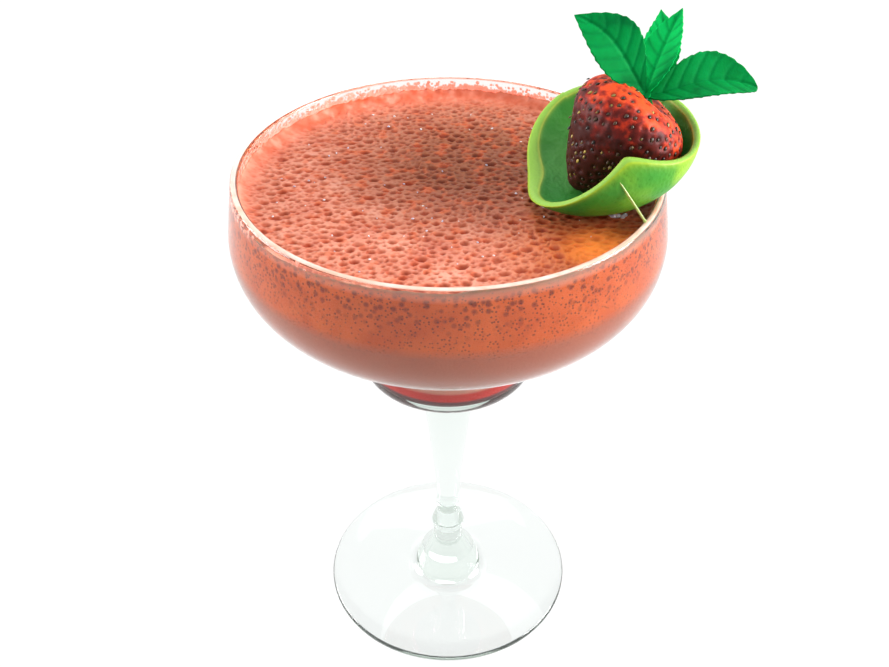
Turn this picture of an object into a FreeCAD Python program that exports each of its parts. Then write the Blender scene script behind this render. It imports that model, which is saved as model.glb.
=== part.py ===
import FreeCAD, Part
import math
import os
import Sketcher

# A frozen margarita in its footed glass, with a hollowed lime, a strawberry and
# mint on the rim. Millimetres, +Z up. The origin is the middle of the foot's
# underside, on the glass's axis. The garnish hangs on the rim on the +X side,
# and its open side faces -Y.

doc = FreeCAD.newDocument("FrozenMargarita")

# ---------------------------------------------------------------- sizes

# Heights of the bowl and the cup are given as drops from the rim, and those of
# the bead, the collar and the foot from the table: the stem takes up the rest.
SIZES = [
    # glass: overall
    ("glass_height", 152.4, "from the table to the top of the rim"),
    ("rim_radius", 55.0, "outside of the rim"),
    ("foot_radius", 38.5, "outside of the foot"),
    # glass: bowl
    ("wall", 2.0, "thickness of the bowl's wall"),
    ("lip_round", 0.85, "rounding of the two edges of the lip"),
    ("belly_swell", 2.1, "how far the bowl's widest part stands outside the rim"),
    ("belly_drop", 16.4, "from the rim down to the widest part"),
    ("belly_round", 21.3, "section radius of the belly"),
    ("neck_drop", 51.4, "from the rim down to the neck between bowl and cup"),
    ("neck_round", 5.0, "section radius of the neck, outside"),
    # glass: small cup under the bowl
    ("cup_radius", 24.8, "outside of the cup"),
    ("cup_wall", 2.8, "thickness of the cup's wall"),
    ("cup_shoulder_drop", 59.0, "from the rim to where the cup rounds under"),
    ("cup_shoulder_round", 6.0, "section radius of the cup's lower edge, outside"),
    ("cup_floor_drop", 62.4, "from the rim to the cup's floor, inside"),
    ("cup_floor_round", 5.0, "section radius of the floor's corner, inside"),
    # glass: stem
    ("stem_top_radius", 7.2, "stem just under the cup"),
    ("stem_top_drop", 79.4, "from the rim to the middle of the flare under the cup"),
    ("stem_top_flare", 9.0, "section radius of that flare"),
    ("stem_middle_radius", 4.1, "stem at its middle"),
    ("stem_middle_place", 0.31, "share of the stem's length that lies below its middle"),
    ("stem_middle_sweep", 25.0, "section radius of the stem's gentle curve"),
    ("stem_thin_radius", 3.4, "stem at its thinnest"),
    ("stem_thin_height", 29.5, "height of the thinnest part"),
    ("stem_thin_sweep", 5.0, "section radius just above the bead"),
    # glass: bead, collar and foot
    ("bead_radius", 5.1, "outside of the bead"),
    ("bead_height", 23.4, "height of the middle of the bead"),
    ("bead_round", 2.3, "section radius of the bead"),
    ("waist_radius", 4.4, "stem between the bead and the collar"),
    ("waist_height", 17.6, "height of that waist"),
    ("waist_round", 2.4, "section radius of the waist"),
    ("collar_radius", 8.6, "outside of the collar"),
    ("collar_height", 10.2, "height of the middle of the collar's edge"),
    ("collar_round", 2.0, "section radius of the collar's edge"),
    ("hub_flare", 4.6, "section radius of the turn from the collar to the foot"),
    ("hub_gap", 1.2, "how far that turn stands out from the collar"),
    ("foot_edge", 1.9, "thickness of the foot at its edge"),
    ("foot_crown", 3.1, "thickness of the foot beside the hub"),
    ("foot_ring", 8.5, "width of the flat ring that stands on the table"),
    ("foot_hollow", 1.2, "depth of the hollow inside that ring"),
    # drink
    ("drink_drop", 5.9, "from the rim down to the drink's surface"),
    # lime: a hollowed half that hangs across the rim
    ("lime_length", 25.9, "half of the lime's length, across the rim"),
    ("lime_width", 25.2, "half of the lime's width, along the rim"),
    ("lime_depth", 16.0, "half of the lime's height"),
    ("lime_wall", 1.8, "thickness of the hollowed skin"),
    ("lime_inset", 18.8, "from the rim's outside in to the lime's middle"),
    ("lime_aside", -1.7, "how far the lime's middle lies towards +Y"),
    ("lime_lift", 10.7, "height of the lime's middle above the rim"),
    ("lime_nod", 8.2, "degrees that the lime tips towards the glass's middle"),
    ("lime_lean", 12.3, "degrees that the lime leans to its open side"),
    ("lime_spin", -15.4, "degrees that the lime's length turns off +X"),
    ("lime_edge_drop", 9.7, "from the lime's middle down to its cut edge, at the back"),
    ("lime_edge_tilt", 6.1, "how far the cut edge rises towards its high side"),
    ("lime_edge_tilt_bearing", 49.0, "degrees round the lime to that side"),
    ("lime_peak_rise", 19.2, "height of the cut edge's front peak above that"),
    ("lime_peak_bearing", -61.0, "degrees round the lime to the peak"),
    ("lime_peak_inner", 68.0, "degrees over which the peak falls away inwards"),
    ("lime_peak_outer", 46.0, "degrees over which it falls away outwards"),
    ("lime_back_rise", 2.4, "height of the low swell at the back of the cut edge"),
    ("lime_back_bearing", 118.0, "degrees round the lime to that swell"),
    ("lime_back_spread", 38.0, "degrees over which it falls away"),
    ("slot_gap", 0.25, "play between the lime's slot and the glass"),
    # strawberry
    ("berry_radius", 15.2, "strawberry at its shoulders"),
    ("berry_shoulder_round", 8.6, "section radius of the shoulders"),
    ("berry_shoulder_height", 20.4, "from the tip to the middle of the shoulders"),
    ("berry_cheek_radius", 8.8, "strawberry half way down"),
    ("berry_cheek_height", 11.0, "from the tip to that cheek"),
    ("berry_cheek_round", 10.0, "section radius of the cheek"),
    ("berry_tip_round", 2.8, "section radius of the tip"),
    ("berry_tip_flat", 0.6, "radius of the tip's blunt end"),
    ("berry_dimple", 1.6, "depth of the hollow that the stalk grew from"),
    ("berry_end_gap", 19.2, "from the lime's inner end to the strawberry's tip"),
    ("berry_side_gap", 15.5, "from the lime's open side to the strawberry's tip"),
    ("berry_floor_gap", 2.4, "from the lime's floor to the strawberry's tip"),
    ("berry_bearing", 10.0, "degrees round to the way the strawberry leans"),
    ("berry_rise", 50.0, "degrees that its axis stands above level"),
    # mint
    ("stalk_radius", 1.1, "mint stalk"),
    ("stalk_length", 4.6, "mint stalk above the strawberry's hollow"),
    ("stalk_bearing", 236.0, "degrees round to the way that the stalk leans"),
    ("stalk_rise", 58.0, "degrees that the stalk stands above level"),
    ("leaf_thickness", 0.6, "thickness of a mint leaf"),
    ("leaf_tooth", 0.55, "depth of the teeth along a leaf's edge"),
    ("left_leaf_length", 27.1, "leaf that points to the glass's middle"),
    ("left_leaf_width", 12.6, "its width"),
    ("back_leaf_length", 26.5, "leaf that stands up behind"),
    ("back_leaf_width", 9.5, "its width"),
    ("high_leaf_length", 23.4, "leaf beside that one"),
    ("high_leaf_width", 9.0, "its width"),
    ("right_leaf_length", 26.9, "leaf that points away from the glass"),
    ("right_leaf_width", 13.0, "its width"),
    # pick
    ("pick_radius", 0.45, "cocktail pick"),
    ("pick_length", 12.5, "length of the pick that shows"),
    ("pick_aside", 26.1, "from the lime's middle along the rim to the pick's foot"),
    ("pick_heading", 165.0, "degrees round to the way that the pick points"),
    ("pick_rise", 54.0, "degrees that it stands above level"),
]


class Size:
    """A size: its number, and the sheet expression that gives the number."""

    def __init__(self, value, text):
        self.value = float(value)
        self.text = text

    def __add__(self, other):
        other = as_size(other)
        return Size(self.value + other.value, f"({self.text} + {other.text})")

    def __sub__(self, other):
        other = as_size(other)
        return Size(self.value - other.value, f"({self.text} - {other.text})")

    def __mul__(self, other):
        other = as_size(other)
        return Size(self.value * other.value, f"({self.text} * {other.text})")

    def __float__(self):
        return self.value


def as_size(number):
    return number if isinstance(number, Size) else Size(number, repr(float(number)))


class Sheet:
    """The spreadsheet of driving dimensions; sheet.NAME is the size of that name."""

    def __init__(self, document, rows):
        self.cells = document.addObject("Spreadsheet::Sheet", "Sizes")
        self.sizes = {}
        for number, (name, value, note) in enumerate(rows, start=1):
            self.cells.set(f"A{number}", name)
            self.cells.set(f"B{number}", str(value))
            self.cells.set(f"C{number}", note)
            self.cells.setAlias(f"B{number}", name)
            self.sizes[name] = Size(value, f"Sizes.{name}")

    def __getattr__(self, name):
        return self.sizes[name]


sheet = Sheet(doc, SIZES)
doc.recompute()

# ---------------------------------------------------------------- turned sections

# A turned section is a string pulled round pegs: each peg is (x, z, radius, turn).
# LEFT and RIGHT say which way the string turns on it, and CORNER is a sharp point.
LEFT = 1
RIGHT = -1
CORNER = 0


def straight_run(first, second):
    """End points of the straight run of string from one peg to the next."""
    dx = second[0] - first[0]
    dz = second[1] - first[1]
    lean = (second[2] - first[2]) / math.hypot(dx, dz)
    heading = math.atan2(dz, dx) - math.asin(lean)
    across = FreeCAD.Vector(-math.sin(heading), math.cos(heading), 0)
    start = FreeCAD.Vector(first[0], first[1], 0) - across * first[2]
    end = FreeCAD.Vector(second[0], second[1], 0) - across * second[2]
    return start, end


def bind(sketch, kind, references, size):
    """Add a dimension to a sketch and tie it to the sheet."""
    index = sketch.addConstraint(Sketcher.Constraint(kind, *references, size.value))
    sketch.setExpression(f"Constraints[{index}]", size.text)


def hold_point(sketch, geometry, vertex, x, z):
    """Hold a point of a sketch at x, z, or on an axis where one of them is nothing."""
    for kind, axis, size in (("DistanceX", -2, x), ("DistanceY", -1, z)):
        if size.text == "0.0":
            sketch.addConstraint(Sketcher.Constraint("PointOnObject", geometry, vertex, axis))
        else:
            bind(sketch, kind, (-1, 1, geometry, vertex), size)


def draw_section(sketch, pegs):
    """Draw the closed string round the pegs, fully dimensioned from the sheet."""
    pegs = [(as_size(x), as_size(z), as_size(radius), turn) for x, z, radius, turn in pegs]
    circles = [(x.value, z.value, radius.value * turn) for x, z, radius, turn in pegs]
    followers = circles[1:] + circles[:1]
    runs = [straight_run(*pair) for pair in zip(circles, followers)]
    lines = [sketch.addGeometry(Part.LineSegment(start, end)) for start, end in runs]
    for i, (x, z, radius, turn) in enumerate(pegs):
        arriving, leaving = lines[i - 1], lines[i]
        if turn == CORNER:
            sketch.addConstraint(Sketcher.Constraint("Coincident", arriving, 2, leaving, 1))
            hold_point(sketch, leaving, 1, x, z)
            continue
        centre = FreeCAD.Vector(x.value, z.value, 0)
        circle = Part.Circle(centre, FreeCAD.Vector(0, 0, 1), radius.value)
        ends = [runs[i - 1][1], runs[i][0]]
        first, last = 1, 2
        if turn == RIGHT:
            ends.reverse()
            first, last = 2, 1
        angles = [math.atan2(end.y - centre.y, end.x - centre.x) for end in ends]
        arc = sketch.addGeometry(Part.ArcOfCircle(circle, *angles))
        sketch.addConstraint(Sketcher.Constraint("Tangent", arriving, 2, arc, first))
        sketch.addConstraint(Sketcher.Constraint("Tangent", leaving, 1, arc, last))
        hold_point(sketch, arc, 3, x, z)
        bind(sketch, "Radius", (arc,), radius)


def turned_body(name, pegs):
    """A body made by turning a section of pegs once round the Z axis."""
    body = doc.addObject("PartDesign::Body", name)
    sketch = body.newObject("Sketcher::SketchObject", f"{name}_section")
    plane = next(f for f in body.Origin.OriginFeatures if f.Role == "XZ_Plane")
    sketch.AttachmentSupport = [(plane, "")]
    sketch.MapMode = "FlatFace"
    draw_section(sketch, pegs)
    turning = body.newObject("PartDesign::Revolution", f"{name}_turning")
    turning.Profile = sketch
    turning.ReferenceAxis = (sketch, ["V_Axis"])
    turning.Angle = 360
    doc.recompute()
    return body


def walked_back(pegs):
    """The same pegs met in the opposite order, so every turn changes hand."""
    return [(x, z, radius, -turn) for x, z, radius, turn in reversed(pegs)]


# ---------------------------------------------------------------- other helpers


def feature(kind, name, **properties):
    """A Part primitive or boolean; a property given as a Size is tied to the sheet."""
    thing = doc.addObject(kind, name)
    for key, value in properties.items():
        if isinstance(value, Size):
            thing.setExpression(key, value.text)
        else:
            setattr(thing, key, value)
    return thing


def shaped(name, shape):
    """A document object that holds a shape made by Part's own functions."""
    thing = doc.addObject("Part::Feature", name)
    thing.Shape = shape
    return thing


def cut(name, base, *tools):
    """Base with each tool taken away in turn."""
    for number, tool in enumerate(tools):
        last = tool is tools[-1]
        base = feature("Part::Cut", name if last else f"{name}_{number}", Base=base, Tool=tool)
    return base


def heading_vector(bearing, rise):
    """The level direction at a bearing from +X, lifted by rise degrees."""
    bearing = math.radians(float(bearing))
    rise = math.radians(float(rise))
    level = math.cos(rise)
    return FreeCAD.Vector(level * math.cos(bearing), level * math.sin(bearing), math.sin(rise))


# ---------------------------------------------------------------- glass

top = sheet.glass_height
inner_rim = sheet.rim_radius - sheet.wall
belly_x = sheet.rim_radius + sheet.belly_swell - sheet.belly_round
belly_z = top - sheet.belly_drop
neck_x = sheet.cup_radius + sheet.neck_round
neck_z = top - sheet.neck_drop
cup_floor_x = sheet.cup_radius - sheet.cup_wall - sheet.cup_floor_round
cup_floor_z = top - sheet.cup_floor_drop
stem_top_z = top - sheet.stem_top_drop
stem_middle_z = (
    sheet.stem_thin_height + (stem_top_z - sheet.stem_thin_height) * sheet.stem_middle_place
)
half_edge = sheet.foot_edge * 0.5

# The inside of the bowl, from the middle of the cup's floor up to the rim.
bowl_inside = [
    (0, cup_floor_z, 0, CORNER),
    (cup_floor_x, cup_floor_z + sheet.cup_floor_round, sheet.cup_floor_round, LEFT),
    (neck_x, neck_z, sheet.neck_round + sheet.cup_wall, RIGHT),
    (belly_x, belly_z, sheet.belly_round - sheet.wall, LEFT),
    (inner_rim, top, 0, CORNER),
]


def round_of(radius, height, section, turn):
    """A peg whose string touches the given radius at the given height."""
    centre = radius - section if turn == LEFT else radius + section
    return (centre, height, section, turn)


# The outside of the glass, from the middle of the foot's underside up to the rim.
glass_outside = [
    (0, sheet.foot_hollow, 0, CORNER),
    (sheet.foot_radius - sheet.foot_ring, 0, 0, CORNER),
    round_of(sheet.foot_radius, half_edge, half_edge, LEFT),
    round_of(
        sheet.collar_radius + sheet.hub_gap,
        sheet.foot_crown + sheet.hub_flare,
        sheet.hub_flare,
        RIGHT,
    ),
    round_of(sheet.collar_radius, sheet.collar_height, sheet.collar_round, LEFT),
    round_of(sheet.waist_radius, sheet.waist_height, sheet.waist_round, RIGHT),
    round_of(sheet.bead_radius, sheet.bead_height, sheet.bead_round, LEFT),
    round_of(sheet.stem_thin_radius, sheet.stem_thin_height, sheet.stem_thin_sweep, RIGHT),
    round_of(sheet.stem_middle_radius, stem_middle_z, sheet.stem_middle_sweep, RIGHT),
    round_of(sheet.stem_top_radius, stem_top_z, sheet.stem_top_flare, RIGHT),
    round_of(
        sheet.cup_radius,
        top - sheet.cup_shoulder_drop,
        sheet.cup_shoulder_round,
        LEFT,
    ),
    (neck_x, neck_z, sheet.neck_round, RIGHT),
    (belly_x, belly_z, sheet.belly_round, LEFT),
    (sheet.rim_radius, top, 0, CORNER),
]

glass = turned_body("glass", glass_outside + walked_back(bowl_inside))
turned = glass.Tip


def is_lip_edge(edge):
    """Whether an edge is one of the sharp circles round the top of the wall."""
    return edge.BoundBox.ZMin > float(top) - 0.001


lip = glass.newObject("PartDesign::Fillet", "lip")
lip.Base = (
    turned,
    [f"Edge{n}" for n, edge in enumerate(turned.Shape.Edges, start=1) if is_lip_edge(edge)],
)
lip.setExpression("Radius", sheet.lip_round.text)

# ---------------------------------------------------------------- lime

lime_middle = FreeCAD.Vector(
    float(sheet.rim_radius - sheet.lime_inset),
    float(sheet.lime_aside),
    float(top + sheet.lime_lift),
)
X_AXIS = FreeCAD.Vector(1, 0, 0)
Y_AXIS = FreeCAD.Vector(0, 1, 0)
Z_AXIS = FreeCAD.Vector(0, 0, 1)
lime_tilt = (
    FreeCAD.Rotation(Y_AXIS, -float(sheet.lime_nod))
    * FreeCAD.Rotation(X_AXIS, float(sheet.lime_lean))
    * FreeCAD.Rotation(Z_AXIS, float(sheet.lime_spin))
)
lime_place = FreeCAD.Placement(lime_middle, lime_tilt)


def hump(bearing, middle, spread_before, spread_after):
    """A hump of height one round the lime, fading over the given degrees."""
    turn = (math.degrees(bearing) - float(middle) + 180) % 360 - 180
    spread = float(spread_before if turn < 0 else spread_after)
    return math.exp(-abs(turn / spread) ** 1.5)


def cut_edge_height(bearing):
    """Height of the lime's wavy cut edge at a bearing round it, in its own frame."""
    peak = hump(bearing, sheet.lime_peak_bearing, sheet.lime_peak_inner, sheet.lime_peak_outer)
    swell = hump(bearing, sheet.lime_back_bearing, sheet.lime_back_spread, sheet.lime_back_spread)
    slant = math.cos(bearing - math.radians(float(sheet.lime_edge_tilt_bearing)))
    return (
        float(sheet.lime_peak_rise) * peak
        + float(sheet.lime_back_rise) * swell
        + float(sheet.lime_edge_tilt) * slant
        - float(sheet.lime_edge_drop)
    )


SHEET_REACH = 1.25
SHEET_FLAT = 0.45
SHEET_STEPS = 24


def above_cut_edge():
    """Everything over the lime's cut edge: a wavy sheet, drawn straight up.

    The sheet reaches past the lime, and is flattened near the lime's own axis.
    """
    reach = float(sheet.lime_length) * SHEET_REACH
    flat = float(sheet.lime_width) * SHEET_FLAT
    rows = []
    for i in range(SHEET_STEPS + 1):
        x = reach * (2 * i / SHEET_STEPS - 1)
        row = []
        for j in range(SHEET_STEPS + 1):
            y = reach * (2 * j / SHEET_STEPS - 1)
            blend = min(1, math.hypot(x, y) / flat) ** 2
            low = -float(sheet.lime_edge_drop)
            z = low + (cut_edge_height(math.atan2(y, x)) - low) * blend
            row.append(FreeCAD.Vector(x, y, z))
        rows.append(row)
    wave = Part.BSplineSurface()
    wave.interpolate(rows)
    return wave.toShape().extrude(Z_AXIS * 2 * reach)


def ellipsoid(name, shrink):
    """The lime's outer form, or that form drawn in by shrink."""
    return feature(
        "Part::Ellipsoid",
        name,
        Radius1=sheet.lime_depth - shrink,
        Radius2=sheet.lime_length - shrink,
        Radius3=sheet.lime_width - shrink,
        Placement=lime_place,
    )


lime_skin = ellipsoid("lime_skin", 0)
lime_hollow = ellipsoid("lime_hollow", sheet.lime_wall)
lime_above = shaped("lime_above", above_cut_edge())
lime_above.Placement = lime_place

# The slot is the top of the glass's wall, grown by the play round it.
slot_low = sheet.rim_radius + sheet.belly_swell
rim_slot = turned_body(
    "rim_slot",
    [
        (slot_low + sheet.slot_gap, belly_z, 0, CORNER),
        (sheet.rim_radius + sheet.slot_gap, top + sheet.slot_gap, 0, CORNER),
        (inner_rim - sheet.slot_gap, top + sheet.slot_gap, 0, CORNER),
        (slot_low - sheet.wall - sheet.slot_gap, belly_z, 0, CORNER),
    ],
)

# ---------------------------------------------------------------- strawberry

whole_berry = turned_body(
    "whole_berry",
    [
        (0, 0, 0, CORNER),
        (sheet.berry_tip_flat, sheet.berry_tip_round, sheet.berry_tip_round, LEFT),
        round_of(
            sheet.berry_cheek_radius, sheet.berry_cheek_height, sheet.berry_cheek_round, LEFT
        ),
        round_of(
            sheet.berry_radius, sheet.berry_shoulder_height, sheet.berry_shoulder_round, LEFT
        ),
        (
            0,
            sheet.berry_shoulder_height + sheet.berry_shoulder_round - sheet.berry_dimple,
            0,
            CORNER,
        ),
    ],
)
berry_axis = heading_vector(sheet.berry_bearing, sheet.berry_rise)
berry_tip = lime_place.multVec(
    FreeCAD.Vector(
        float(sheet.berry_end_gap - sheet.lime_length + sheet.lime_wall),
        float(sheet.berry_side_gap - sheet.lime_width + sheet.lime_wall),
        float(sheet.berry_floor_gap - sheet.lime_depth + sheet.lime_wall),
    )
)
whole_berry.Placement = FreeCAD.Placement(berry_tip, FreeCAD.Rotation(Z_AXIS, berry_axis))
# Where the strawberry would reach the rim, the rim presses a notch into it.
strawberry = cut("strawberry", whole_berry, rim_slot)

# ---------------------------------------------------------------- mint

berry_crown = berry_tip + berry_axis * float(
    sheet.berry_shoulder_height + sheet.berry_shoulder_round - sheet.berry_dimple
)
stalk_axis = heading_vector(sheet.stalk_bearing, sheet.stalk_rise)
stalk_round = feature(
    "Part::Cylinder",
    "stalk_round",
    Radius=sheet.stalk_radius,
    Height=sheet.stalk_length,
    Placement=FreeCAD.Placement(berry_crown, FreeCAD.Rotation(Z_AXIS, stalk_axis)),
)
stalk = cut("mint_stalk", stalk_round, strawberry)
doc.recompute()

LEAF_TEETH = 9
TOOTH_NOTCH = 0.25
TOOTH_POINT = 0.85
LEAF_BROADEST = 0.8
LEAF_POINTED = 1.3
LEAF_BEND_LATE = 1.5
LEAF_STEPS = 10
LEAF_SPARE = 0.05
LEAF_SLAB = 0.7
FULL_TOOTH = 5


def leaf_half_width(along, width):
    """Half of a leaf's width at a share of its length, broadest before the middle."""
    return 0.5 * width * math.sin(math.pi * along**LEAF_BROADEST) ** LEAF_POINTED


def midrib_offset(along, bow):
    """How far the midrib bows to one side at a share of the leaf's length."""
    return bow * math.sin(math.pi * min(1, max(0, along)) ** LEAF_BEND_LATE)


def leaf_outline(length, width, bow):
    """The toothed outline of a leaf, laid flat, with its base at the origin."""
    tooth = float(sheet.leaf_tooth)
    full_tooth_from = FULL_TOOTH * tooth
    side = []
    for number in range(LEAF_TEETH):
        for share, stand in ((TOOTH_NOTCH, 0), (TOOTH_POINT, tooth)):
            along = (number + share) / LEAF_TEETH
            half = leaf_half_width(along, width)
            side.append((along, half + stand * min(1, half / full_tooth_from)))
    points = [(0, 0)]
    points += [(along, -half) for along, half in side]
    points += [(1, 0)]
    points += [(along, half) for along, half in reversed(side)]
    points += [(0, 0)]
    return [
        FreeCAD.Vector(along * length, half + midrib_offset(along, bow), 0)
        for along, half in points
    ]


def leaf_height(along, aside, fold, arch):
    """Height of a leaf's face: folded up along the midrib, arched along its length."""
    arched = 4 * arch * along * (1 - along)
    folded = fold * (math.sqrt(aside**2 + 1) - 1)
    return arched + folded


def leaf_solid(length, width, fold, arch, bow):
    """A leaf with its base at the origin and its midrib along +X.

    A bent slab, a little larger than the leaf all round, is cut to the outline.
    """
    length = float(length)
    width = float(width)
    rows = []
    for i in range(LEAF_STEPS + 1):
        along = (1 + 2 * LEAF_SPARE) * i / LEAF_STEPS - LEAF_SPARE
        row = []
        for j in range(LEAF_STEPS + 1):
            aside = LEAF_SLAB * width * (2 * j / LEAF_STEPS - 1)
            z = leaf_height(along, aside, fold, arch)
            row.append(FreeCAD.Vector(along * length, aside + midrib_offset(along, bow), z))
        rows.append(row)
    face = Part.BSplineSurface()
    face.interpolate(rows)
    slab = face.toShape().extrude(Z_AXIS * float(sheet.leaf_thickness))
    outline = Part.Face(Part.makePolygon(leaf_outline(length, width, bow)))
    outline.translate(Z_AXIS * -length)
    return slab.common(outline.extrude(Z_AXIS * 2 * length))


def mint_leaf(name, length, width, grip, bearing, rise, roll, fold, arch, bow, under=()):
    """Set a leaf on the stalk: grip is how far down from the stalk's end it starts.

    The leaf is cut back where it meets the stalk, or any leaf that it lies under.
    """
    solid = leaf_solid(length, width, fold, arch, bow)
    base = berry_crown + stalk_axis * (float(sheet.stalk_length) - grip)
    solid.Placement = FreeCAD.Placement(base, FreeCAD.Rotation(bearing, -rise, roll))
    for other in (stalk_round, strawberry, *under):
        solid = solid.cut(other.Shape)
    blade = max(solid.Solids, key=lambda piece: piece.Volume)
    return shaped(name, blade)


mint_leaf_left = mint_leaf(
    "mint_leaf_left", sheet.left_leaf_length, sheet.left_leaf_width, grip=1.2,
    bearing=164, rise=44, roll=-52, fold=0.15, arch=1.5, bow=-2.4,
)
mint_leaf_right = mint_leaf(
    "mint_leaf_right", sheet.right_leaf_length, sheet.right_leaf_width, grip=1.2,
    bearing=4, rise=3, roll=25, fold=0.45, arch=1.0, bow=2.6,
)
mint_leaf_high = mint_leaf(
    "mint_leaf_high", sheet.high_leaf_length, sheet.high_leaf_width, grip=0.8,
    bearing=55, rise=47, roll=-10, fold=0.25, arch=1.0, bow=0.0,
    under=(mint_leaf_left, mint_leaf_right),
)
mint_leaf_back = mint_leaf(
    "mint_leaf_back", sheet.back_leaf_length, sheet.back_leaf_width, grip=2.6,
    bearing=77, rise=34, roll=0, fold=0.25, arch=1.0, bow=-1.5,
    under=(mint_leaf_left, mint_leaf_right, mint_leaf_high),
)

# ---------------------------------------------------------------- pick

pick_axis = heading_vector(sheet.pick_heading, sheet.pick_rise)
# The pick's foot stands on the middle of the lip, so far to the lime's open side.
lip_middle = float(sheet.rim_radius - sheet.wall * 0.5)
pick_foot_y = float(sheet.lime_aside - sheet.pick_aside)
pick_foot = FreeCAD.Vector(
    math.sqrt(lip_middle**2 - pick_foot_y**2), pick_foot_y, float(top + sheet.pick_radius)
)
pick = feature(
    "Part::Cylinder",
    "cocktail_pick",
    Radius=sheet.pick_radius,
    Height=sheet.pick_length,
    Placement=FreeCAD.Placement(pick_foot, FreeCAD.Rotation(Z_AXIS, pick_axis)),
)

# ---------------------------------------------------------------- fits

lime_cup = cut(
    "lime_cup", lime_skin, lime_hollow, lime_above, rim_slot, strawberry, pick
)

# The drink fills the bowl to its level, round the lime that dips into it and
# round the strawberry, if that reaches below the lime.
bowl_hollow = turned_body("bowl_hollow", bowl_inside + [(0, top, 0, CORNER)])
filled = feature(
    "Part::Cylinder",
    "filled",
    Radius=sheet.rim_radius + sheet.belly_swell,
    Height=top - sheet.drink_drop,
)
drink_round = feature("Part::Common", "drink_round", Base=bowl_hollow, Tool=filled)
drink = cut("frozen_drink", drink_round, lime_skin, whole_berry)

doc.recompute()

# ---------------------------------------------------------------- check and write

PIECES = {
    "glass": glass,
    "frozen_drink": drink,
    "lime_cup": lime_cup,
    "strawberry": strawberry,
    "mint_stalk": stalk,
    "mint_leaf_left": mint_leaf_left,
    "mint_leaf_back": mint_leaf_back,
    "mint_leaf_high": mint_leaf_high,
    "mint_leaf_right": mint_leaf_right,
    "cocktail_pick": pick,
}

for thing in doc.Objects:
    if "Invalid" in thing.State or "Error" in thing.State:
        raise RuntimeError(f"{thing.Name} did not build: {thing.State}")
os.makedirs("parts", exist_ok=True)
for name, thing in PIECES.items():
    thing.Label = name
    shape = thing.Shape
    if shape.isNull() or not shape.isValid():
        raise RuntimeError(f"{name} has no valid shape")
    shape.exportStep(f"parts/{name}.step")
    print(f"{name}: {len(shape.Solids)} solid, {shape.Volume / 1000:.2f} cm3")
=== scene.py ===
# %% [markdown]
# # A frozen margarita, built round its CAD frame
#
# The drink is a coral-coloured slush in a heavy footed glass. A hollowed lime
# hangs on the rim and holds a strawberry with a sprig of mint. The CAD model
# gives the frame: where each piece is and how large it may be. This script
# gives each piece the shape and finish that the eye sees, in the same frame,
# in metres. Sizes inside the script are in millimetres, as a bartender would
# measure them, and are turned to metres as each mesh is made.

# %% Load the frame
import math

import bpy
import numpy as np
from mathutils import Euler, Matrix, Vector, noise


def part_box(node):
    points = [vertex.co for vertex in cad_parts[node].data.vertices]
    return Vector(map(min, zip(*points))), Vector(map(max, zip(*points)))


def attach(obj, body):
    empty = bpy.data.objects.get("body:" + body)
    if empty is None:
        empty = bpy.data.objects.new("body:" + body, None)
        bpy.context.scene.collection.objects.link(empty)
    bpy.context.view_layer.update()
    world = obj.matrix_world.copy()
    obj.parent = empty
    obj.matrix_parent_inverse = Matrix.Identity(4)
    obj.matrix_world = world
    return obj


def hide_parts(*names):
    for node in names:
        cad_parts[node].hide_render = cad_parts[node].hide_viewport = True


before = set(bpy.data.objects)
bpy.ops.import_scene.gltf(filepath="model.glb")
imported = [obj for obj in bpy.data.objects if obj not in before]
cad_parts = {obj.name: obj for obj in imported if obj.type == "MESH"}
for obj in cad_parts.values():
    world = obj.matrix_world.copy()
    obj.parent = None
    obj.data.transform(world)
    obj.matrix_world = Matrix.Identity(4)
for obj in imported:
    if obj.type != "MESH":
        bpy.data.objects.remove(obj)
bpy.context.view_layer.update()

MM = 0.001
print("frame nodes:", sorted(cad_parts))

# %% [markdown]
# ## Small helpers
#
# Colours are chosen as sRGB hex values, the way a swatch book lists them, but
# Blender's shaders work in linear light, so one function converts them. A
# second function adds a shader node with its settings and its links in one go,
# and gives back the socket that the next node needs. Most finishes here are
# coats of colour, each laid over the last as a painter would, so a loop lays
# them. The others turn arrays of points into smooth mesh objects.

# %% Colour and node helpers


def linear(swatch):
    """An sRGB hex colour as a linear RGBA tuple."""
    channels = [int(swatch[i : i + 2], 16) / 255 for i in (1, 3, 5)]
    low = [c / 12.92 if c <= 0.04045 else ((c + 0.055) / 1.055) ** 2.4 for c in channels]
    return (*low, 1.0)


def add(material, kind, links=None, ramp=None, out=0, **settings):
    """Add a node with its settings and links, and give back one of its output sockets.

    A link is a number, a vector, a hex colour, the socket that feeds it, or the name of
    the mesh's attribute that does. With a list of places and colours after it, that is
    a ramp. With two or three values after it, it is a fade: where it gives 0, where it
    gives 1, and what to give there instead of 1.
    """
    tree = material.node_tree
    node = tree.nodes.new("ShaderNode" + kind)
    for key, value in settings.items():
        setattr(node, key, value)
    if ramp:
        stops = node.color_ramp.elements
        while len(stops) < len(ramp):
            stops.new(0.5)
        for stop, (place, swatch) in zip(stops, ramp):
            stop.position = place
            stop.color = linear(swatch)
    for socket, value in (links or {}).items():
        if isinstance(value, str) and value.startswith("#"):
            value = linear(value)
        elif isinstance(value, str):
            value = add(material, "Attribute", out="Fac", attribute_name=value)
        elif isinstance(value, tuple) and isinstance(value[1], list):
            value = add(material, "ValToRGB", {"Fac": value[0]}, ramp=value[1])
        elif isinstance(value, tuple) and isinstance(value[0], (str, bpy.types.NodeSocket)):
            fade = zip(("Value", "From Min", "From Max", "To Max"), value)
            value = add(material, "MapRange", dict(fade))
        if isinstance(value, bpy.types.NodeSocket):
            tree.links.new(value, node.inputs[socket])
        else:
            node.inputs[socket].default_value = value
    return node.outputs[out] if node.outputs else None


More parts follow.
